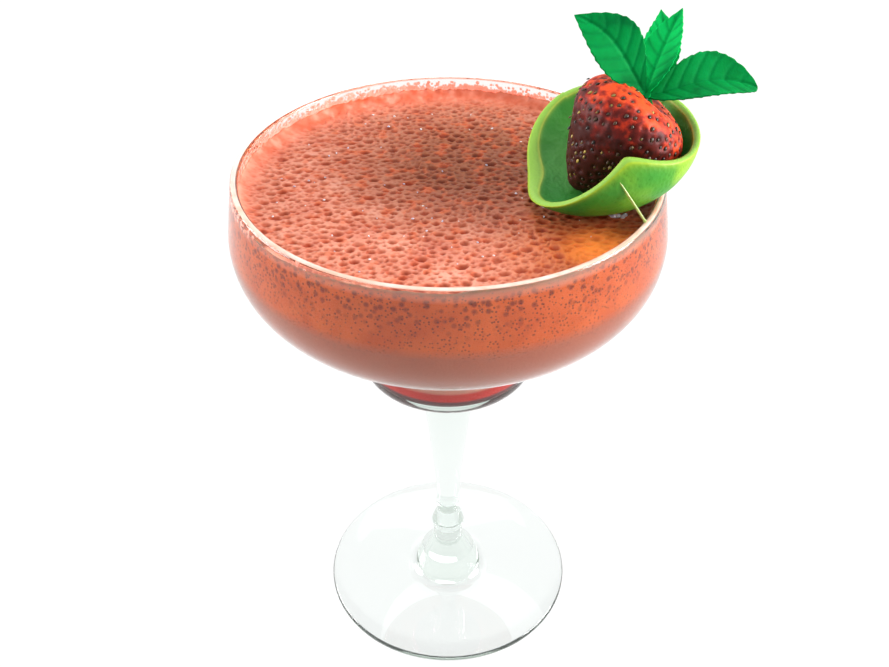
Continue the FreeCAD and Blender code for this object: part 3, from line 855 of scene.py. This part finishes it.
# How far each point is from the cut edge, and which side of the peel it is on.
from_edge = np.concatenate([1 - rises, [0] * len(edge_rows), 1 - rises[::-1]])
cut_share = np.repeat(np.exp(-from_edge / 0.022), LIME_AROUND)
which_side = [0.0] * PEEL_ROWS + [0.5] * len(edge_rows) + [1.0] * PEEL_ROWS
lime_bottom = (0, 0, -LIME_HALF[2])
lime_floor = (0, 0, PEEL - LIME_HALF[2])
lime = mesh_piece(
    "lime_peel",
    in_lime(np.vstack([outer, *edge_rows, inner, lime_bottom, lime_floor])),
    closed_faces(lime_rows, LIME_AROUND),
    cut_edge=np.append(cut_share, (0, 0)),
    inside=np.append(np.repeat(which_side, LIME_AROUND), (0, 1)),
)

# %% [markdown]
# The lime hangs on the rim by a slot. A ring a little thicker than the wall is
# taken out of the peel, so the glass passes through without touching.

# %% Cut the slot

SLOT_PLAY, SLOT_DEPTH, SLOT_AROUND = 0.2, 12.0, 200


def slot_ring():
    """A closed ring round the top of the glass's wall, grown by the slot's play."""
    low = GLASS_TOP - SLOT_DEPTH
    section = [
        (wall_radius(low) + WALL + SLOT_PLAY, low),
        (RIM + SLOT_PLAY, GLASS_TOP + SLOT_PLAY),
        (RIM - WALL - SLOT_PLAY, GLASS_TOP + SLOT_PLAY),
        (wall_radius(low) - SLOT_PLAY, low),
    ]
    angles = steps_round(SLOT_AROUND)
    points = [(r * math.cos(a), r * math.sin(a), z) for r, z in section for a in angles]
    faces = ring_faces(len(section) + 1, SLOT_AROUND)
    faces = [tuple(corner % len(points) for corner in face) for face in faces]
    return mesh_piece("slot_cutter", points, faces)


cutter = slot_ring()
slotting = lime.modifiers.new("slot", "BOOLEAN")
slotting.operation = "DIFFERENCE"
slotting.object = cutter
slotting.solver = "EXACT"
bpy.context.view_layer.update()
cut_lime = lime.evaluated_get(bpy.context.evaluated_depsgraph_get())
slotted = bpy.data.meshes.new_from_object(cut_lime)
lime.modifiers.clear()
lime.data = slotted
bpy.data.objects.remove(cutter)
print("lime after its slot:", len(lime.data.polygons), "faces")

# %% [markdown]
# Lime peel is waxy, so its gloss is soft and broken by the oil glands. It is bright green outside,
# yellower in patches and towards the side away from the glass, pale yellow-green along the cut,
# and a smooth mid-green inside.

# %% Waxy lime peel


def lime_peel():
    material, place = new_material("lime_peel_waxy")
    patches = add(material, "TexNoise", {"Vector": place, "Scale": 55.0, "Detail": 2.0})
    outward = add(material, "SeparateXYZ", {"Vector": place}, out="X")
    yellow_share = add(material, "Math", {0: (outward, 0.020, 0.100), 1: patches}, operation="ADD")
    skin = (
        yellow_share, [(0.55, "#0a8436"), (0.68, "#2f8a2c"), (0.85, "#4c922a"), (1.0, "#86b02a")]
    )
    # Oil glands sit about 1 mm apart; each shows as a slightly darker dot.
    glands = add(material, "TexVoronoi", {"Vector": place, "Scale": 950.0})
    dots = (glands, [(0.0, "#c9d9c0"), (0.35, "#ffffff")])
    outside = coats(material, skin, (0.8, dots), blend="MULTIPLY")
    scraped = (patches, [(0.3, "#2c8034"), (0.7, "#4f963a")])
    rind = ("inside", [(0.0, "#98b42c"), (0.5, "#84b044"), (1.0, "#a8bc4c")])
    colour = coats(material, outside, ("inside", scraped), ("cut_edge", rind))
    bump = add(material, "Bump", {"Height": glands, "Strength": 0.25, "Distance": 0.0003})
    surface = add(material, "BsdfPrincipled", {
        "Base Color": colour, "Roughness": 0.42, "IOR": 1.45, "Specular IOR Level": 0.25,
        "Subsurface Weight": 0.15, "Subsurface Radius": (0.6, 1.0, 0.3),
        "Subsurface Scale": 0.0015, "Normal": bump,
    })
    add(material, "OutputMaterial", {"Surface": surface})
    return material


finish_piece(lime, lime_peel(), "lime_peel", "lime_cup")

# %% [markdown]
# ## The strawberry
#
# A whole berry stands in the lime, tip down. Its seeds, the achenes, sit in
# pits that follow a spiral like a sunflower's, about 2.4 mm apart, and the
# flesh swells between them. The body is turned from the same pegs as its CAD
# solid, then every point is pushed in or out by its distance to the nearest
# pit. Each seed is a small teardrop of its own, half sunk in its pit.

# %% The berry's body

BERRY, SHOULDER, SHOULDER_Z, CHEEK, CHEEK_Z = 15.2, 8.6, 20.4, 8.8, 11.0
TIP_FLAT, TIP_ROUND, DIMPLE = 0.6, 2.8, 1.6
BERRY_BEARING, BERRY_RISE = 10.0, 50.0
BERRY_TIP_IN_LIME = np.array((19.2, 15.5, 2.4)) - LIME_HALF + PEEL


def heading_vector(bearing, rise):
    """The level direction at a bearing from +X, lifted by rise degrees."""
    bearing, rise = math.radians(bearing), math.radians(rise)
    return np.array((
        math.cos(rise) * math.cos(bearing), math.cos(rise) * math.sin(bearing), math.sin(rise)
    ))


def upright_to(axis):
    """The turn that lays an upright piece along an axis."""
    return np.array(Vector(UP).rotation_difference(Vector(axis)).to_matrix())


berry_axis = heading_vector(BERRY_BEARING, BERRY_RISE)
berry_tip = in_lime(BERRY_TIP_IN_LIME)
berry_turn = upright_to(berry_axis)
berry_pegs = [
    (0, 0, 0, CORNER),
    (TIP_FLAT, TIP_ROUND, TIP_ROUND, LEFT),
    touching(CHEEK, CHEEK_Z, 10.0, LEFT),
    touching(BERRY, SHOULDER_Z, SHOULDER, LEFT),
    (0, SHOULDER_Z + SHOULDER - DIMPLE, 0, CORNER),
]
coarse = pulled_string(berry_pegs, 0.5)
along = np.concatenate([[0], np.cumsum(np.hypot(*np.diff(coarse, axis=0).T))])
BERRY_ROWS = 120
even = np.linspace(0, along[-1], BERRY_ROWS)
berry_outline = np.column_stack([np.interp(even, along, coarse[:, n]) for n in (0, 1)])

# %% Where the seeds sit

SEED_SPACING, SEED_STRAY, SEEDS_LOST = 2.35, 0.32, 0.1
GOLDEN_TURN = math.pi * (3 - math.sqrt(5))
seed_places = []
covered = 0.0
for r0, z0, r1, z1 in np.hstack([berry_outline[:-1], berry_outline[1:]]):
    covered += math.pi * (r0 + r1) * math.hypot(r1 - r0, z1 - z0) / SEED_SPACING**2
    while len(seed_places) < covered and z1 > 1.0:
        turn = len(seed_places) * GOLDEN_TURN
        seed_places.append((r1 * math.cos(turn), r1 * math.sin(turn), z1))
# No berry is as regular as that: seeds stray by a third of a millimetre, and some are lost.
stray = np.random.default_rng(SEED + 1)
seed_places = np.array(seed_places)
seed_places += stray.normal(0, SEED_STRAY, seed_places.shape)
seed_places = seed_places[stray.random(len(seed_places)) > SEEDS_LOST]
print("seeds:", len(seed_places))

# %% Dent the body round the seeds

BERRY_AROUND = 230
BERRY_HEART = np.array((0, 0, SHOULDER_Z * 0.55))
PIT_DEPTH, PIT_RADIUS = 0.55, 0.72


def from_heart(points):
    """Unit directions from the middle of the berry to points."""
    out = points - BERRY_HEART
    return out / np.linalg.norm(out, axis=1)[:, None]


def berry_surface(points):
    """Push points of the plain body in at the seeds' pits and out between them."""
    nearest = np.full(len(points), np.inf)
    for place in seed_places:
        nearest = np.minimum(nearest, np.linalg.norm(points - place, axis=1))
    pit_shape = np.exp(-((nearest / PIT_RADIUS) ** 2))
    push = 0.35 * soft_noise(points, 7.0, 11.0) - 0.12 - PIT_DEPTH * pit_shape
    return points + from_heart(points) * push[:, None], pit_shape


plain = turned_points(berry_outline, BERRY_AROUND)
dented, pit_shape = berry_surface(plain)
berry = mesh_piece(
    "strawberry_body", dented @ berry_turn.T + berry_tip,
    closed_faces(len(berry_outline) - 2, BERRY_AROUND),
    seed_pit=pit_shape,
    toward_tip=np.clip(1 - plain[:, 2] / (SHOULDER_Z + SHOULDER), 0, 1),
)

# %% The seeds

SEED_LONG, SEED_WIDE, SEED_THICK, SEED_PROUD = 1.35, 0.85, 0.5, 0.12
SEED_RINGS, SEED_AROUND = 7, 10


def seed_shape():
    """A teardrop seed, pointing along +X, lying on its broad side."""
    share = np.linspace(0, 1, SEED_RINGS + 1)
    width = np.sin(math.pi * share**0.8)
    return bead_shape(
        SEED_LONG * (share - 0.5), width, SEED_WIDE / 2, SEED_THICK / 2, SEED_AROUND
    )


sunk, _ = berry_surface(seed_places)
seed_frames = []
for out, place in zip(from_heart(seed_places), sunk):
    down = out * out[2] - UP
    down /= np.linalg.norm(down)
    turn = np.column_stack([down, np.cross(out, down), out])
    size = stray.uniform(0.75, 1.15)
    seat = (place + out * SEED_PROUD) @ berry_turn.T + berry_tip
    seed_frames.append((berry_turn @ turn * size, seat))
seeds = copies("strawberry_seeds", *seed_shape(), seed_frames)

# %% [markdown]
# Strawberry flesh is wet and glossy over a skin that lets a little light in.
# It is orange-red at the shoulders and darkens to maroon at the tip. Its top and the side away
# from the glass are painted brighter, as painted light, and painted shade darkens the pits round
# the seeds. The seeds run from straw yellow to brown.

# %% Wet strawberry flesh


def strawberry_flesh():
    material, place = new_material("strawberry_flesh_wet")
    outward, upward = (
        add(material, "SeparateXYZ", {"Vector": place}, out=axis) for axis in ("X", "Z")
    )
    mottle = add(material, "TexNoise", {"Vector": place, "Scale": 330.0, "Detail": 4.0})
    flesh_darkness = add(material, "Math", {0: "toward_tip", 1: (mottle, 0.2, 0.9)}, operation="ADD")
    # Painted light: the top and the side away from the glass are painted brighter, where the lamps
    # fall on them.
    lit_top_and_side = add(
        material, "Math",
        {0: (outward, 0.048, 0.060, 0.23), 1: (upward, 0.1700, 0.1750, 0.23)},
        operation="MAXIMUM",
    )
    flesh_darkness = add(material, "Math", {0: flesh_darkness, 1: lit_top_and_side}, operation="SUBTRACT")
    flesh = (
        flesh_darkness, [(0.3, "#dc4a1e"), (0.43, "#b02e16"), (0.58, "#681711"), (0.9, "#380f0c")]
    )
    bump = add(material, "Bump", {"Height": mottle, "Strength": 0.3, "Distance": 0.0004})
    surface = add(material, "BsdfPrincipled", {
        # Painted shade: the flesh round each seed is darkened, as in the hollow of its pit.
        "Base Color": coats(material, flesh, ("seed_pit", "#3a0f0b")), "Roughness": 0.5,
        "IOR": 1.4, "Specular IOR Level": 0.25, "Subsurface Weight": 0.1,
        "Subsurface Radius": (1.0, 0.25, 0.15), "Subsurface Scale": 0.002, "Normal": bump,
    })
    add(material, "OutputMaterial", {"Surface": surface})
    return material


finish_piece(berry, strawberry_flesh(), "strawberry_flesh", "strawberry")

# %% Dry seeds


def dried_seed():
    material, place = new_material("strawberry_seed_dry")
    tone = add(material, "TexNoise", {"Vector": place, "Scale": 400.0})
    surface = add(material, "BsdfPrincipled", {
        "Base Color": (tone, [(0.4, "#1c0f0a"), (0.55, "#4a3018"), (0.65, "#a89040")]),
        "Roughness": 0.4, "IOR": 1.45,
    })
    add(material, "OutputMaterial", {"Surface": surface})
    return material


finish_piece(seeds, dried_seed(), "strawberry_flesh")

# %% [markdown]
# ## The mint
#
# Four leaves on a short stalk. A mint leaf is a toothed oval, folded a little
# along its midrib, with side veins that leave the midrib in pairs and reach
# the teeth. The blade puffs up between the veins, which is what makes mint
# look quilted. The leaf is a grid that runs from the midrib to the edge, so
# the veins can be pressed into it, and it is given a real thickness.

# %% The leaf's shape

LEAF_BLADE = 0.5
STALK_BEARING, STALK_RISE, STALK_LENGTH = 236.0, 58.0, 4.6
TEETH, TOOTH = 13, 0.26
VEIN_PAIRS = 7
LONG_STEPS, WIDE_STEPS = 110, 44
stalk_axis = heading_vector(STALK_BEARING, STALK_RISE)
berry_crown = berry_tip + berry_axis * (SHOULDER_Z + SHOULDER - DIMPLE)


def blade_faces():
    """Faces of a leaf: its face, its back, and the border that joins them."""
    wide = WIDE_STEPS + 1
    count = wide * (LONG_STEPS + 1)
    faces = []
    for i in range(LONG_STEPS):
        for a in range(i * wide, i * wide + WIDE_STEPS):
            faces.append((a, a + wide, a + wide + 1, a + 1))
            faces.append((count + a, count + a + 1, count + a + wide + 1, count + a + wide))
    border = list(range(wide))
    border += range(2 * wide - 1, count, wide)
    border += range(count - 2, count - wide - 1, -1)
    border += range(count - 2 * wide, 0, -wide)
    faces += [(a, b, count + b, count + a) for a, b in zip(border, border[1:] + border[:1])]
    return faces


def mint_leaf(name, length, width, grip, bearing, rise, roll, fold, arch, bow, late, blunt):
    """A leaf on the stalk; grip is how far down from the stalk's end it starts.

    Late moves the broadest place towards the tip, and blunt rounds the tip off.
    """
    along = np.linspace(0, 1, LONG_STEPS + 1)[:, None]
    across = np.linspace(-1, 1, WIDE_STEPS + 1)[None, :]
    saw = (along * TEETH) % 1.0
    tooth = np.where(saw < 0.75, saw / 0.75, (1 - saw) / 0.25)
    half = 0.5 * width * np.sin(math.pi * along**late) ** (1 / blunt)
    half = half + TOOTH * tooth * np.minimum(1, half / 2.5)
    aside = half * across
    bend = bow * np.sin(math.pi * along**1.5)
    blade = 4 * arch * along * (1 - along) + fold * (np.sqrt(aside**2 + 1) - 1)
    # Side veins leave the midrib at about 45 degrees and curve forwards.
    forward = 1.15 * np.abs(across) ** 1.3 * np.sin(math.pi * along) ** 0.3
    vein_place = along * VEIN_PAIRS - forward
    from_vein = np.abs(vein_place - np.round(vein_place))
    strength = np.minimum(1, half / 3.0)
    groove = 0.10 * strength * np.exp(-((from_vein / 0.13) ** 2))
    midrib = 0.28 * np.minimum(1, half / 2.0) * np.exp(-((aside / 0.45) ** 2))
    puff = 0.08 * strength * np.sin(math.pi * from_vein)
    height = blade - groove - midrib + puff
    x = np.broadcast_to(along * length, height.shape)
    points = np.vstack([
        np.stack([x, aside + bend, height + thick], axis=2).reshape(-1, 3)
        for thick in (LEAF_BLADE, 0)
    ])
    vein = np.maximum(np.exp(-((from_vein / 0.16) ** 2)) * strength, np.exp(-((aside / 0.5) ** 2)))
    turn = np.array(
        turned_about("Z", bearing) @ turned_about("Y", -rise) @ turned_about("X", roll)
    )
    base = berry_crown + stalk_axis * (STALK_LENGTH - grip)
    veins = np.tile(vein.ravel(), 2)
    return mesh_piece(name, points @ turn.T + base, blade_faces(), vein=veins)


# %% The four leaves

leaves = {
    "mint_leaf_left": mint_leaf(
        "leaf_left", length=26.3, width=12.6, grip=1.2, bearing=164, rise=44, roll=-52,
        fold=0.15, arch=1.5, bow=-2.4, late=1.1, blunt=1.0,
    ),
    "mint_leaf_right": mint_leaf(
        "leaf_right", length=26.9, width=13.0, grip=1.2, bearing=4, rise=3, roll=25,
        fold=0.45, arch=1.0, bow=2.6, late=1.2, blunt=1.7,
    ),
    "mint_leaf_high": mint_leaf(
        "leaf_high", length=22.7, width=9.4, grip=0.8, bearing=55, rise=47, roll=-10,
        fold=0.25, arch=1.0, bow=0.0, late=0.9, blunt=0.95,
    ),
    "mint_leaf_back": mint_leaf(
        "leaf_back", length=25.7, width=9.5, grip=2.6, bearing=77, rise=34, roll=0,
        fold=0.25, arch=1.0, bow=-1.5, late=0.9, blunt=0.95,
    ),
}

# %% [markdown]
# Fresh mint is a deep, cool green with a satin skin. The high and the back leaf turn away from the
# lamps, so they get a brighter copy of the finish, as painted light. The veins are painted a
# little darker, painted shade for the grooves they lie in. A leaf is thin enough to glow when
# light comes from behind, which the subsurface part of the shader gives.

# %% Fresh mint


def fresh_mint(name, tones):
    """Mint leaf, from its dark, middle and light tones."""
    material, place = new_material(name)
    tone = add(material, "TexNoise", {"Vector": place, "Scale": 160.0, "Detail": 3.0})
    green = (tone, list(zip((0.3, 0.5, 0.7), tones)))
    # Painted shade: the veins are darkened for the grooves they lie in.
    colour = coats(material, green, (("vein", 0.0, 1.0, 0.5), "#007236"))
    cells = add(material, "TexNoise", {"Vector": place, "Scale": 1800.0})
    bump = add(material, "Bump", {"Height": cells, "Strength": 0.2, "Distance": 0.0002})
    surface = add(material, "BsdfPrincipled", {
        "Base Color": colour, "Roughness": 0.6, "IOR": 1.42, "Specular IOR Level": 0.05,
        "Subsurface Weight": 0.1, "Subsurface Radius": (0.3, 1.0, 0.3),
        "Subsurface Scale": 0.0012, "Normal": bump,
    })
    add(material, "OutputMaterial", {"Surface": surface})
    return material


mint = fresh_mint("mint_leaf_fresh", ("#00662f", "#008039", "#008c41"))
# Painted light: a brighter copy of the finish for the two leaves that turn away from the lamps.
lit_mint = fresh_mint("mint_leaf_painted_light", ("#008c42", "#00a64c", "#08b456"))
BRIGHTENED_LEAVES = ("mint_leaf_high", "mint_leaf_back")
for node, leaf in leaves.items():
    finish_piece(leaf, lit_mint if node in BRIGHTENED_LEAVES else mint, "mint", node)
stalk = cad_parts["mint_stalk"]
stalk.data.materials.clear()
stalk.data.materials.append(mint)

# %% [markdown]
# ## The pick
#
# A slim pick leans from the rim into the lime and keeps it from rolling. It
# tapers to its point and has a small bead where the fingers hold it.

# %% The pick

PICK, PICK_LENGTH, PICK_AROUND = 0.45, 12.5, 16
PICK_BEARING, PICK_HEADING, PICK_RISE = -31.0, 165.0, 54.0
pick_foot = heading_vector(PICK_BEARING, 0) * (RIM - WALL / 2) + UP * (GLASS_TOP + PICK)
pick_outline = np.array([
    (0, 0), (0.28, 0.06), (0.43, 0.28), (0.43, 0.55), (0.3, 0.85), (0.3, 1.6),
    (0.34, 4.0), (0.3, 8.0), (0.22, 11.2), (0.08, 12.3), (0, PICK_LENGTH),
])
pick_turn = upright_to(heading_vector(PICK_HEADING, PICK_RISE))
pick = mesh_piece(
    "pick_tapered", turned_points(pick_outline, PICK_AROUND) @ pick_turn.T + pick_foot,
    closed_faces(len(pick_outline) - 2, PICK_AROUND),
)


def green_plastic():
    material, place = new_material("polystyrene_pick_moulded")
    swirl = add(material, "TexNoise", {"Vector": place, "Scale": 500.0})
    surface = add(material, "BsdfPrincipled", {
        "Base Color": (swirl, [(0.3, "#86a048"), (0.7, "#b0b060")]),
        "Roughness": 0.25, "IOR": 1.59,
    })
    add(material, "OutputMaterial", {"Surface": surface})
    return material


finish_piece(pick, green_plastic(), "pick", "cocktail_pick")

# %% [markdown]
# ## Table, light and camera
#
# A plain white table that runs into the white room, a large soft light from
# above and behind, and softer ones from both sides. The light comes mostly from
# behind and the sides, so that the thin edges of the drink glow.

# %% The table

TABLE, TABLE_DROP = 6.0, 0.0001


def white_table():
    bpy.ops.mesh.primitive_plane_add(size=TABLE, location=(0, 0, -TABLE_DROP))
    table = bpy.context.object
    table.name = "table"
    material, _ = new_material("table_white_matt")
    surface = add(material, "BsdfPrincipled", {
        "Base Color": "#444444", "Roughness": 0.9, "Specular IOR Level": 0.0,
        "Emission Color": "#ffffff", "Emission Strength": 0.95,
    })
    add(material, "OutputMaterial", {"Surface": surface})
    table.data.materials.append(material)


white_table()

# %% The lights

AIM = Vector((0, 0, 0.1))


def soft_light(name, place, size, watts):
    lamp = bpy.data.lights.new(name, "AREA")
    lamp.shape = "DISK"
    lamp.size = size
    lamp.energy = watts
    holder = bpy.data.objects.new(name, lamp)
    holder.location = place
    holder.rotation_euler = (AIM - Vector(place)).to_track_quat("-Z", "Y").to_euler()
    bpy.context.scene.collection.objects.link(holder)


soft_light("overhead_softbox", (0.1, 0.4, 1.3), 1.0, 3.0)
soft_light("right_softbox", (1.05, -0.12, 0.5), 0.7, 23.0)
soft_light("left_softbox", (-1.0, 0.15, 0.4), 0.7, 12.0)

# %% The room

room = bpy.data.worlds.new("white_room")
bpy.context.scene.world = room
room.use_nodes = True
room.node_tree.nodes.clear()
looking = add(room, "TexCoord", out="Generated")
backward, upward = (
    add(room, "SeparateXYZ", {"Vector": looking}, out=axis) for axis in ("Y", "Z")
)
# The room is white behind the drink and at its sides, and dimmer in front,
# where whoever looks at it stands.
white = add(
    room, "MapRange",
    {"Value": backward, "From Min": -0.95, "From Max": 0.0, "To Min": 0.35, "To Max": 1.1},
)
# The walls end in a pale teal skirting, which draws thin lines in the glass.
# It's paler in front, so that the foot's near edge stays light.
above_skirting = add(room, "MapRange", {"Value": upward, "From Min": 0.0, "From Max": 0.06})
walls = coats(
    room, coats(room, "#e8f0ee", ((backward, -0.5, 0.1), "#b4d0cc")),
    (above_skirting, "#ffffff"),
)
strength = add(room, "MapRange", {"Value": above_skirting, "To Min": 1.0, "To Max": white})
background = add(room, "Background", {"Color": walls, "Strength": strength})
add(room, "OutputWorld", {"Surface": background})
bpy.context.scene.view_settings.view_transform = "Standard"

# %% The camera

CAMERA_BACK, CAMERA_UP, CAMERA_DOWN = 249.2, 289.7, 37.45
SENSOR, FOCAL_LENGTH, SHIFT, NEAREST = 36.0, 44.82, -0.0039, 10.0
lens = bpy.data.cameras.new("camera")
lens.sensor_width = SENSOR
lens.lens = FOCAL_LENGTH
lens.shift_x = SHIFT
lens.clip_start = NEAREST * MM
camera = bpy.data.objects.new("camera", lens)
camera.location = (0, -CAMERA_BACK * MM, CAMERA_UP * MM)
camera.rotation_euler = Euler((math.radians(90 - CAMERA_DOWN), 0, 0))
bpy.context.scene.collection.objects.link(camera)
bpy.context.scene.camera = camera
